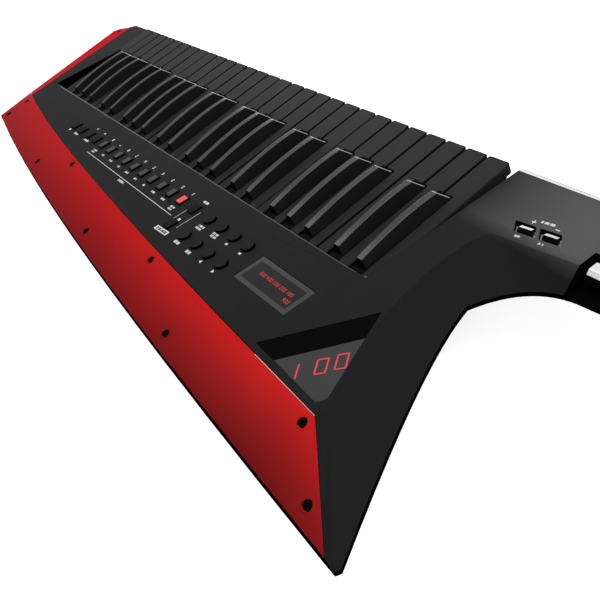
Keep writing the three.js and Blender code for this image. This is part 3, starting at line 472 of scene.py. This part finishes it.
def another(piece, name, place):
    """A copy with its own mesh, moved by a matrix."""
    made = bpy.data.objects.new(name, piece.data.copy())
    bpy.context.scene.collection.objects.link(made)
    return settled(made, place)


def riding(piece, body, stands_for=()):
    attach(piece, body)
    if stands_for:
        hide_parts(*stands_for)
    return piece


def cleaned(node, name, whole=True):
    """A merged copy of a frame node's mesh, its flat faces made whole where they have no holes."""
    made = bpy.data.objects.new(name, frame["nodes"][node].data.copy())
    bpy.context.scene.collection.objects.link(made)
    editing(
        made,
        lambda: bpy.ops.mesh.remove_doubles(threshold=0.004 * MM),
        lambda: bpy.ops.mesh.customdata_custom_splitnormals_clear(),
    )
    if whole:
        editing(made, lambda: bpy.ops.mesh.dissolve_limited(angle_limit=math.radians(0.25)))
    return made


def dressed(node, name, material, width_mm, segments=2, angle=40, smooth=32, whole=True,
            shaped=None, keep=False):
    """A frame node's piece with rounded edges and its finish."""
    made = cleaned(node, name, whole)
    if shaped:
        shaped(made)
    rounded(made, width_mm, segments, angle, smooth, keep)
    coated(made, material)
    return riding(made, frame["nodes"][node]["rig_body"], (node,))


# ---------------------------------------------------------------- keys


def round_front_corners(key):
    """The two upright edges at a natural's front are rounded as on a played key."""
    front = min(v.co.y for v in key.data.vertices)

    def upright(one, other):
        near = max(one.y, other.y) < front + 1.6 * MM
        return near and abs(one.x - other.x) < 0.01 * MM and abs(one.z - other.z) > 0.2 * MM

    pick_edges(key, upright)
    bpy.ops.mesh.bevel(offset=3.2 * MM, segments=4, affect="EDGES")
    leave()


def make_keys():
    """Each kind of key is finished once and copied to the other octaves."""
    kinds = {}
    names = sorted(n for n in frame["nodes"] if n.startswith("key_") and n != "key_frame")
    for node in names:
        octave = node.rsplit("_", 1)[1]
        kind = node[: -len(octave)]
        sharp = "sharp" in node
        slot, material = ("sharps", SHARP_BLACK) if sharp else ("naturals", NATURAL_BLACK)
        low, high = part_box(node)
        model = kinds.get(kind)
        if model and (high - low - model[1]).length < 0.02 * MM:
            made = another(model[0], node + "_top", Matrix.Translation(low - model[2]))
            riding(made, frame["nodes"][node]["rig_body"], (node,))
        else:
            width, shaped = (0.6, None) if sharp else (1.1, round_front_corners)
            made = dressed(node, node + "_top", material, width, 3, 30, 20, shaped=shaped)
            if sharp:
                rear = at(0, SHARP_REAR).y
                # The sharp's sides are painted a lighter matt black, as lit.
                painted(made, SHARP_SIDE_LIT, lambda c, n: abs(n.x) > 0.62)
                # The sharp's back and rear end are painted black as shade.
                painted(made, KEY_GAP_SHADE, lambda c, n: n.y > 0.5 or c.y > rear)
                front = at(0, SHARP_FRONT).y
                # The front edges of the sharp are painted light grey as a highlight.
                painted(made, SHARP_EDGE_HIGHLIGHT, lambda c, n: -0.72 < n.y < -0.15 and n.z > 0.3
                        and (c.y > front or abs(n.x) > 0.15))
            else:
                # The first key's bass side keeps the top's finish; the other sides and the front
                # are painted black as shade between the keys
                edge = at(2, 0).x if node == "key_c_1" else -1
                painted(made, KEY_GAP_SHADE, lambda c, n: (abs(n.x) > 0.12 and c.x > edge) or n.y < -0.2)
            kinds[kind] = (made, high - low, low)


# ---------------------------------------------------------------- case


# Each blade screw's place on the panel in millimetres, and the way it points
SCREWS = [
    ((681.33, 222.62, -3.96), (0.002, 0.102, 0.995)),
    ((682.10, 193.73, -0.97), (0.016, 0.092, 0.996)),
    ((494.83, 243.90, -5.65), (0.017, 0.154, 0.988)),
    ((429.04, 221.69, -1.28), (0.015, 0.166, 0.986)),
    ((291.55, 262.62, -7.63), (0.004, 0.186, 0.983)),
    ((176.48, 242.70, -2.29), (0.014, 0.226, 0.974)),
    ((87.35, 275.93, -9.32), (0.008, 0.233, 0.973)),
    ((-74.39, 255.24, -2.44), (0.009, 0.266, 0.964)),
    ((-118.94, 285.72, -10.91), (0.0015, 0.265, 0.964)),
    ((767.22, 13.76, -1.52), (0.081, 0.025, 0.996)),
]


def open_case_edges(case):
    """The panel's edge over the keys is chamfered and the front edge's slope gets its line.
    All edges stay sharp but those where the cutaway turns into the neck."""
    rear, top = at(0, WELL_REAR).y, PANEL.z

    def on_edge(one, other):
        return all(abs(p.y - rear) < 0.05 * MM and abs(p.z - top) < 0.05 * MM for p in (one, other))

    pick_edges(case, on_edge)
    bpy.ops.mesh.bevel(offset=1.5 * MM, segments=1, affect="EDGES")
    leave()
    bisected(case, at(0, SLOPE_LINE), (0, 1, 0))
    editing(case, lambda: bpy.ops.mesh.mark_sharp(clear=True))

    def faceted(one, other):
        low, high, top = at(-125, 50), at(-30, 118), at(0, 0, -0.1).z
        turning = all(low.x < p.x < high.x and low.y < p.y < high.y for p in (one, other))
        return not turning or min(one.z, other.z) > top

    pick_edges(case, faceted)
    bpy.ops.mesh.mark_sharp()
    leave()


def near_axis(centre, start, end, radius):
    """Whether a place lies round the line from start to end, both in panel millimetres."""
    a, b = at(*start), at(*end)
    along = (b - a).normalized()
    reach = (centre - a).dot(along)
    return 0 <= reach <= (b - a).length and ((centre - a) - along * reach).length < radius * MM


def pane_cuts(lens):
    """The display's border and the status window's dark band are marked out on the glass."""
    for x in PANE_X:
        bisected(lens, at(x, 0), (1, 0, 0))
    for y in PANE_Y:
        bisected(lens, at(0, y), (0, 1, 0))
    run = BAND_END - BAND_START
    bisected(lens, BAND_START, (run.y, -run.x, 0))


def widen_lip(lower):
    """The lower moulding's thin lip stands out a little beyond the long blade's outer edge."""
    low, high = at(-152, 225, -17.9), at(680, 0, -16.8)
    pick_faces(lower, lambda c, n: n.y > 0.5 and abs(n.z) < 0.3 and low.z < c.z < high.z
               and low.x < c.x < high.x and c.y > low.y)
    bpy.ops.transform.translate(value=(0, 1.3 * MM, 0))
    leave()


def open_blade_edge(blade):
    """The long blade's inner edge is broken by a slope that catches the light."""
    limit, top = at(280, 247), at(0, 0, -0.1).z

    def inner(one, other):
        level = min(one.z, other.z) > top
        return level and max(one.y, other.y) < limit.y and max(one.x, other.x) < limit.x

    pick_edges(blade, inner)
    bpy.ops.mesh.bevel(offset=1.1 * MM, segments=2, affect="EDGES")
    leave()


def near_screw(place):
    return any((place - at(*where)).length < 6 * MM for where, _ in SCREWS)


def raise_caps(menu):
    """The round caps stand a little higher, as their dark flanks show."""
    pick_faces(menu, lambda c, n: n.z > 0.9 and c.z > PANEL.z)
    bpy.ops.transform.translate(value=(0, 0, 1.0 * MM))
    leave()


def off_middle(place):
    """How far a place lies behind the octave caps' middle line."""
    return (place - OCTAVE_MIDDLE).dot(OCTAVE_ACROSS)


def ridge_caps(caps):
    """Each octave cap has a low ridge along its middle."""
    bisected(caps, OCTAVE_MIDDLE, OCTAVE_ACROSS)
    low = at(0, 0, -1).z

    def on_ridge(one, other):
        return all(abs(off_middle(p)) < 0.05 * MM and p.z > low for p in (one, other))

    pick_edges(caps, on_ridge)
    bpy.ops.transform.translate(value=(0, 0, 0.9 * MM))
    leave()


def band_side(centre):
    """Positive on the display's side of the status window's dark band."""
    run, off = BAND_END - BAND_START, centre - BAND_START
    return run.y * off.x - run.x * off.y


def paint_upper_case(case):
    rear, bass, treble = at(0, WELL_REAR).y, at(WELL_BASS, 0).x, at(WELL_TREBLE, 0).x
    front, line, low = at(0, 0).y, at(0, SLOPE_LINE).y, at(0, 0, -13).z
    # The chamfer along the well's rear edge is painted lighter grey as a highlight.
    painted(case, WELL_EDGE_HIGHLIGHT, lambda c, n: abs(c.y - rear) < 1.8 * MM and 0.3 < n.z < 0.96
            and n.y < -0.3 and bass < c.x < treble)
    # The neck's front bevel is painted bright metal as a highlight.
    painted(case, NECK_BEVEL_HIGHLIGHT, lambda c, n: n.z > 0.5 and n.y < -0.2 and c.x < bass and c.y < front)
    # A strip at the foot of the neck's front slope is painted light grey, as the fringe of the
    # highlight above it.
    painted(case, SLOPE_FOOT_LIGHT, lambda c, n: n.z > 0.1 and n.y < -0.2 and c.x < bass and c.y < line)
    # The upright walls and the low rim are painted near-black as shade.
    painted(case, SHADE_BLACK, lambda c, n: abs(n.z) < 0.25 or (n.z < 0.8 and c.z < low))


def paint_lower_case(lower):
    lip = at(0, 0, -18.5).z
    # The lip is painted near-black as shade.
    painted(lower, SHADE_BLACK, lambda c, n: c.z > lip)
    painted(lower, NICKEL, lambda c, n: any(near_axis(c, *pin, PIN_RADIUS) for pin in PINS))


def paint_long_blade(blade):
    edge_low, edge_end = at(0, 0, -1.3).z, at(30, 0).x
    # The inner edge's slope towards the horn is painted pale pink as a highlight.
    painted(blade, BLADE_EDGE_HIGHLIGHT, lambda c, n: 0.3 < n.z < 0.97 and c.z > edge_low and n.y < -0.08
            and c.x < edge_end and not near_screw(c))
    # The blade's outer upright walls are painted near-black as shade.
    painted(blade, SHADE_BLACK, lambda c, n: n.z < 0.35 and not near_screw(c))


def paint_lens(lens):
    """The display's border, the dark band and the status window, on the face of the glass. The band
    is painted black as the shade of a recess.
    """
    face, display = at(0, 0, LENS_FACE - 0.2).z, at(DISPLAY_BASS, 0).x
    low, high = at(PANE_X[0], PANE_Y[0]), at(PANE_X[1], PANE_Y[1])
    painted(lens, WINDOW_GREY, lambda c, n: c.z > face and c.x > display
            and not (low.x < c.x < high.x and low.y < c.y < high.y))
    # The dark band is painted black as the shade of a recess.
    painted(lens, BLACK_PRINT_AND_SHADE, lambda c, n: c.z > face and c.x < display and band_side(c) > 0)
    painted(lens, STATUS_GREY, lambda c, n: c.z > face and c.x < display and band_side(c) <= 0)


def make_case():
    case = dressed("upper_case", "upper_case_moulding", PANEL_BLACK, 0.3, whole=False,
                   shaped=open_case_edges, keep=True)
    paint_upper_case(case)
    lower = dressed("lower_case", "lower_case_moulding", SHELL_BLACK, 0.3, whole=False,
                    shaped=widen_lip)
    paint_lower_case(lower)
    dressed("key_frame", "key_frame_plate", FRAME_GREY, 0.3, whole=False)
    blade = dressed("long_blade", "long_blade_plate", BLADE_RED, 0.4, whole=False,
                    shaped=open_blade_edge)
    paint_long_blade(blade)
    # The end blade is painted a lighter red, as a highlight.
    dressed("end_blade", "end_blade_plate", BLADE_RED_LIT, 0.4, whole=False)
    lens = dressed("display_lens", "display_lens_window", LENS_SMOKE, 0.12,
                   shaped=pane_cuts)
    paint_lens(lens)
    tone = dressed("tone_buttons", "tone_button_caps", CAP_RUBBER, 0.3)
    # The caps' flanks are painted near-black as shade.
    painted(tone, SHADE_BLACK, lambda c, n: n.z < 0.5)
    menu = dressed("menu_buttons", "menu_button_caps", PANEL_BLACK, 0.3, shaped=raise_caps)
    # The round caps' flanks are painted near-black as shade.
    painted(menu, SHADE_BLACK, lambda c, n: n.z < 0.6)
    caps = dressed("octave_buttons", "octave_button_caps", CAP_GLOSS, 0.3, smooth=10,
                   shaped=ridge_caps)
    # Painted shade and highlight: each cap's rear half is painted black, a strip of its front
    # half's top light grey.
    painted(caps, BLACK_PRINT_AND_SHADE, lambda c, n: off_middle(c) > -0.1 * MM)
    painted(caps, OCTAVE_CAP_HIGHLIGHT, lambda c, n: n.z > 0.8 and -7 * MM < off_middle(c) < -0.1 * MM)
    bar = dressed("modulation_bar", "modulation_bar_tube", BAR_SILVER, 0.4, 3)
    painted(bar, CAP_RUBBER, lambda c, n: n.y > 0.8 or n.z < -0.2)
    dressed("volume_knob", "volume_knob_cap", CAP_RUBBER, 0.4)


# ---------------------------------------------------------------- fittings and print


def bar_between(start, end, width, z, height=0.05):
    """A flat bar from one panel place to another, its top at z + height."""
    run = Vector((end[0] - start[0], end[1] - start[1]))
    middle = at((start[0] + end[0]) / 2, (start[1] + end[1]) / 2, z + height / 2)
    turn = math.atan2(run.y, run.x)
    bpy.ops.mesh.primitive_cube_add(size=1, location=middle, rotation=(0, 0, turn))
    piece = bpy.context.object
    piece.scale = (run.length * MM, width * MM, height * MM)
    return piece


def joined(name, pieces, material, body="case"):
    bpy.ops.object.select_all(action="DESELECT")
    for piece in pieces:
        piece.select_set(True)
    bpy.context.view_layer.objects.active = pieces[0]
    bpy.ops.object.join()
    made = bpy.context.object
    made.name = name
    settled(made)
    coated(made, material)
    riding(made, body)


def blocks(x, y, long, tall, turn=0.0, seed=0):
    """A short row of small plain blocks, as long as a word."""
    bars = []
    step = 0.95
    count = max(2, round(long / step))
    along = Vector((math.cos(turn), math.sin(turn)))
    for i in range(count):
        if (i * 7 + seed * 3) % 5 == 4:
            continue
        place = Vector((x, y)) + along * ((i + 0.5) * long / count - long / 2)
        half = (long / count * 0.4) * (0.8 + 0.2 * ((i + seed) % 3))
        a, b = place - along * half, place + along * half
        bars.append(bar_between(a, b, 1.3 * tall * (1.0 if (i + seed) % 2 else 0.82), 0.0))
    return bars


def lettering(text, x, y, size, z=0.02, bold=0.0):
    """Plain digits, raised a little from the surface."""
    bpy.ops.object.text_add(location=at(x, y, z))
    piece = bpy.context.object
    piece.data.body = text
    piece.data.size = size * MM
    piece.data.extrude = 0.02 * MM
    piece.data.offset = bold * MM
    piece.data.align_x = "CENTER"
    piece.data.align_y = "CENTER"
    bpy.ops.object.convert(target="MESH")
    return bpy.context.object


def triangle(x, y, radius, turn):
    bpy.ops.mesh.primitive_cylinder_add(vertices=3, radius=radius * MM, depth=0.05 * MM,
                                        location=at(x, y, 0.025), rotation=(0, 0, turn))
    return bpy.context.object


def make_print():
    white, grey = [], []
    for i in range(NUMBERED_CAPS):
        white.append(lettering(str((i + 1) % 10), CAP_X[i], 169.1, 5.2, bold=0.14))
    white.append(triangle(475.8, 168.8, 1.9, 0.3))
    white += blocks(454.1, 168.7, 4.2, 1.8, 0.0, 1)
    white += blocks(204.5, 169.1, 8.6, 2.2, 0.0, 2)
    for i in range(NUMBERED_CAPS):
        if i in (0, NUMBERED_CAPS - 1):
            grey += blocks(CAP_X[i] + 0.4, 195.2, 7.6, 1.7, 0.0, i)
            grey += blocks(CAP_X[i] + 0.4, 192.0, 8.6, 1.7, 0.0, i + 1)
        else:
            grey += blocks(CAP_X[i] + 0.6, 191.5, 6.4 if i % 3 else 4.6, 2.0, 0.0, i)
    for x, y, long in ((463.3, 189.1, 12), (496, 189.9, 9.5), (517.5, 189.7, 4.5)):
        white += blocks(x, y, long, 2.2, 0.0, int(x))
    for x, y, long in ((174.2, 193.9, 9.5), (174.2, 190.6, 9.0),
                       (151.2, 192.0, 9.5), (151.2, 188.7, 9.5)):
        grey += blocks(x, y, long, 1.9, 0.0, int(y))
    for x, y in ((130.7, 190.1), (108.7, 190.0)):
        white += blocks(x, y, 3.2, 1.7, 0.0, 1)
    for x, y, long in ((173.7, 216.1, 9.2), (151.6, 216.6, 7.0)):
        white += blocks(x, y, long, 2.6, 0.0, int(x))
    white.append(triangle(129.5, 216.3, 2.0, 0.5))
    white.append(triangle(108.6, 216.4, 2.0, -0.5))
    white.append(bar_between((218.3, 199.5), (434.1, 199.5), 0.55, 0.0))
    white += blocks(328.6, 203.1, 13, 2.2, 0.0, 4)
    grey.append(bar_between((211.5, 181.3), (211.5, 206), 0.4, 0.0))
    grey.append(bar_between((195, 180.3), (195, 206), 0.4, 0.0))
    white += blocks(204.1, 198.0, 4.6, 2.2, 0.0, 3)
    white.append(bar_between((194.2, 215.8), (215.6, 216.9), 5.0, 0.0))
    dark = blocks(204.9, 216.4, 17.5, 2.6, 0.05, 2)
    for piece in dark:
        piece.location.z += 0.04 * MM
    white.append(bar_between((-57.9, 36.5), (-54.1, 36.5), 0.8, 0.0))
    white.append(bar_between((-56, 34.6), (-56, 38.4), 0.8, 0.0))
    white.append(bar_between((-77.6, 35), (-74.0, 35), 0.8, 0.0))
    white += blocks(-66, 32.8, 12, 1.9, 0.14, 3)
    grey += blocks(-57.4, 54.6, 4.2, 1.5, 0.11, 2)
    grey += blocks(-76.5, 52.5, 4.2, 1.5, 0.11, 4)
    joined("panel_print_white", white, PRINT_WHITE)
    joined("panel_print_grey", grey, PRINT_GREY)
    joined("panel_print_dark", dark, BLACK_PRINT_AND_SHADE)


def stroke_digit(corners, pairs):
    """A digit on the glass, of straight bars that each join two of the corners."""
    return [bar_between(corners[a], corners[b], 1.1, LENS_FACE, 0.06) for a, b in pairs]


def make_display():
    first = lettering("001 002 003 004 005", 49.8, 192.0, 5.3, LENS_FACE + 0.03)
    second = lettering("006", 27.2, 198.4, 5.6, LENS_FACE + 0.03)
    joined("display_text", [first, second], DOT_RED)
    base, up = Vector((-4.6, -5.6)), Vector((8.4, -9.6))
    one = Vector((-42.5, 238.0))
    digits = stroke_digit([one, one + up], [(0, 1)])
    for start in (Vector((-49.5, 227.3)), Vector((-56.7, 215.9))):
        corners = [start, start + base, start + base + up, start + up]
        digits += stroke_digit(corners, [(0, 1), (1, 2), (2, 3), (3, 0)])
    joined("status_digits", digits, LED_RED)


def make_cap_tops():
    """Soft inserts on the tone buttons: the first is lit, the next nine are grey."""
    bpy.ops.mesh.primitive_cube_add(size=1, location=at(CAP_X[1], 181, 1.6))
    first = bpy.context.object
    first.scale = (7.4 * MM, 9.4 * MM, 0.7 * MM)
    first.name = "tone_cap_insert_02"
    settled(first)
    editing(first, lambda: bpy.ops.mesh.subdivide(number_cuts=2))
    rounded(first, 0.25, 2)
    coated(first, CAP_GREY)
    for i in range(NUMBERED_CAPS):
        if i == 1:
            continue
        aside = Matrix.Translation(((CAP_X[i] - CAP_X[1]) * MM, 0, 0))
        made = another(first, f"tone_cap_insert_{i + 1:02d}", aside)
        if i == 0:
            coated(made, CAP_LIT)
        riding(made, "tone_buttons")
    riding(first, "tone_buttons")


def make_screws():
    """Black socket-head screws sunk into the blades."""
    bpy.ops.mesh.primitive_cylinder_add(vertices=24, radius=3.6 * MM, depth=0.5 * MM,
                                        location=(0, 0, -0.85 * MM))
    first = settled(bpy.context.object)
    pick_faces(first, lambda c, n: n.z > 0.9)
    bpy.ops.mesh.inset(thickness=1.5 * MM)
    bpy.ops.mesh.inset(thickness=0.2 * MM)
    bpy.ops.transform.translate(value=(0, 0, -0.05 * MM))
    bpy.ops.mesh.extrude_region_move(TRANSFORM_OT_translate={"value": (0, 0, -0.35 * MM)})
    leave()
    rounded(first, 0.15, 2)
    coated(first, STEEL_BLACK)
    for number, (place, normal) in enumerate(SCREWS, 1):
        turn = Vector((0, 0, 1)).rotation_difference(Vector(normal)).to_matrix().to_4x4()
        made = another(first, f"blade_screw_{number:02d}", Matrix.Translation(at(*place)) @ turn)
        riding(made, "case")
    bpy.data.objects.remove(first)


def ring(radius, thickness, depth, place):
    """A ring whose axis runs away from the player."""
    bpy.ops.mesh.primitive_cylinder_add(vertices=28, radius=radius * MM, depth=depth * MM,
                                        end_fill_type="NOTHING", location=at(*place),
                                        rotation=(math.pi / 2, 0, 0))
    piece = settled(bpy.context.object)
    return applied(piece, "SOLIDIFY", thickness=thickness * MM, offset=-1)


def make_sockets():
    """Nickel nuts and plastic collars round the four sockets in the rear wall."""
    nut = ring(5.6, 2.2, 1.8, (SOCKET_X[0], 234.9, -44))
    collar = ring(7.4, 1.7, 0.9, (SOCKET_X[0], 234.45, -44))
    for piece, material in ((nut, NICKEL), (collar, CAP_RUBBER)):
        rounded(piece, 0.2, 2)
        coated(piece, material)
    for i, x in enumerate(SOCKET_X, 1):
        for piece, kind in ((nut, "nut"), (collar, "collar")):
            aside = Matrix.Translation(((x - SOCKET_X[0]) * MM, 0, 0))
            made = another(piece, f"socket_{kind}_{i}", aside)
            riding(made, "case")
    bpy.data.objects.remove(nut)
    bpy.data.objects.remove(collar)


def make_neck_fittings():
    """The touch strip's pad, the grip ribs along the bar and the knob's pointer."""
    bpy.ops.mesh.primitive_cube_add(size=1, location=at(-230, 18.5, -0.45))
    pad = bpy.context.object
    pad.scale = (234 * MM, 29 * MM, 0.55 * MM)
    pad.name = "ribbon_pad"
    settled(pad)
    pick_faces(pad, lambda c, n: n.z > 0.9)
    bpy.ops.mesh.inset(thickness=3 * MM)
    bpy.ops.transform.translate(value=(0, 0, -0.12 * MM))
    leave()
    rounded(pad, 0.12, 2)
    riding(coated(pad, RIBBON_SATIN), "case")
    bpy.ops.mesh.primitive_cube_add(size=1, location=at(-326, 55.15, -8))
    rib = bpy.context.object
    rib.scale = (1.5 * MM, 0.9 * MM, 5.2 * MM)
    rib.name = "modulation_bar_ribs"
    settled(rib)
    rounded(rib, 0.3, 2)
    applied(rib, "ARRAY", count=69, use_relative_offset=False, use_constant_offset=True,
            constant_offset_displace=(3 * MM, 0, 0))
    riding(coated(rib, CAP_RUBBER), "modulation_bar")
    pointer = bar_between((-408, 19), (-408, 24.6), 1.1, 11.0, 0.08)
    joined("knob_pointer", [pointer], PRINT_WHITE, "volume_knob")


make_keys()
make_case()
make_print()
make_display()
make_cap_tops()
make_screws()
make_sockets()
make_neck_fittings()
